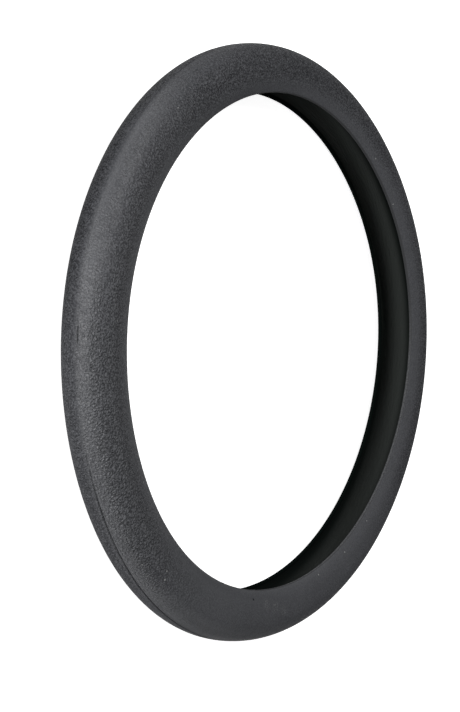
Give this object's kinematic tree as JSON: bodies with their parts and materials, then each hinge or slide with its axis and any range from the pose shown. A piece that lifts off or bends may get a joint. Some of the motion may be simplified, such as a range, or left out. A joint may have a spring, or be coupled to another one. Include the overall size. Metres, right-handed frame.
{
  "type": "steering wheel cover",
  "caption": "Soft moulded ring with a C-shaped section, open towards its centre, that is stretched over a steering wheel's rim as a grip.",
  "frame": {"origin": "centre of the ring, at the height of its back face, on which it lies", "axes": "+Z along the ring's axis, out of its front face, which faces the driver when it is fitted; X and Y across the ring"},
  "size_m": [0.384, 0.384, 0.033],
  "materials": {
    "moulded_rubber": "dark grey moulded rubber with a fine leather grain outside and a plain smooth inside"
  },
  "bodies": {
    "root": {"cover_ring": "moulded_rubber"}
  },
  "joints": []
}
